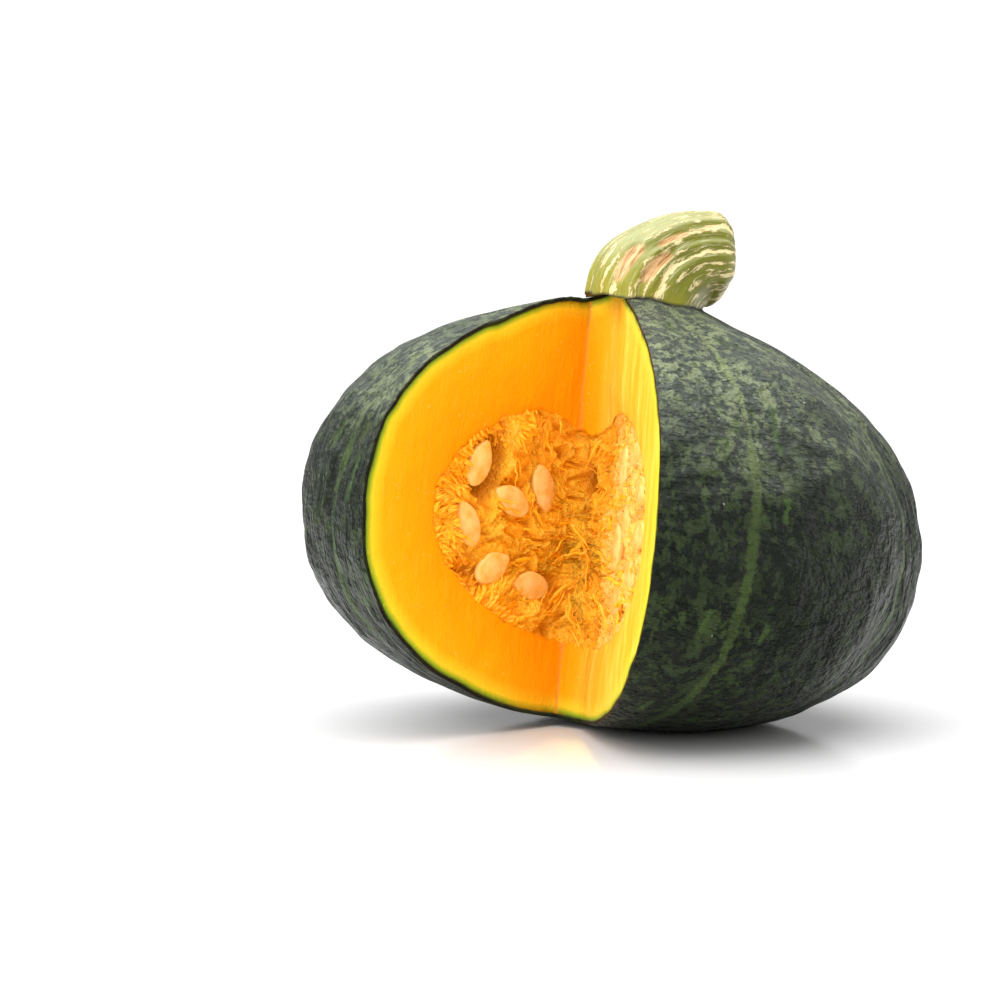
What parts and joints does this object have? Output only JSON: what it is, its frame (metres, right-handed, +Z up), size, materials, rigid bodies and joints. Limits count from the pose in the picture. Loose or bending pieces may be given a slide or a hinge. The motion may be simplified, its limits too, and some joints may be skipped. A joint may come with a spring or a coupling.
{
  "type": "pumpkin",
  "caption": "Squat green-skinned winter squash with a wedge cut out, showing orange flesh, stringy pulp and pale seeds, a thick bent stem on top.",
  "frame": {"origin": "middle of the flat spot the fruit rests on", "axes": "+Z up from the surface it rests on; the missing wedge opens towards -Y, the fruit leans slightly towards +X and +Y"},
  "size_m": [0.204, 0.2035, 0.1689],
  "materials": {
    "rind": "waxy dark green skin, finely warted",
    "flesh": "moist cut orange flesh",
    "pulp": "stringy moist pulp",
    "seed": "smooth pale seed coat, moist",
    "stem": "dry corky stalk, olive with cream streaks"
  },
  "bodies": {
    "root": {"rind": "rind", "flesh": "flesh", "pulp": "pulp", "stem": "stem", "seed_01": "seed", "seed_02": "seed", "seed_03": "seed", "seed_04": "seed", "seed_05": "seed", "seed_06": "seed", "seed_07": "seed", "seed_08": "seed", "seed_09": "seed", "seed_10": "seed", "seed_11": "seed", "seed_12": "seed", "seed_13": "seed", "seed_14": "seed", "seed_15": "seed"}
  },
  "joints": []
}
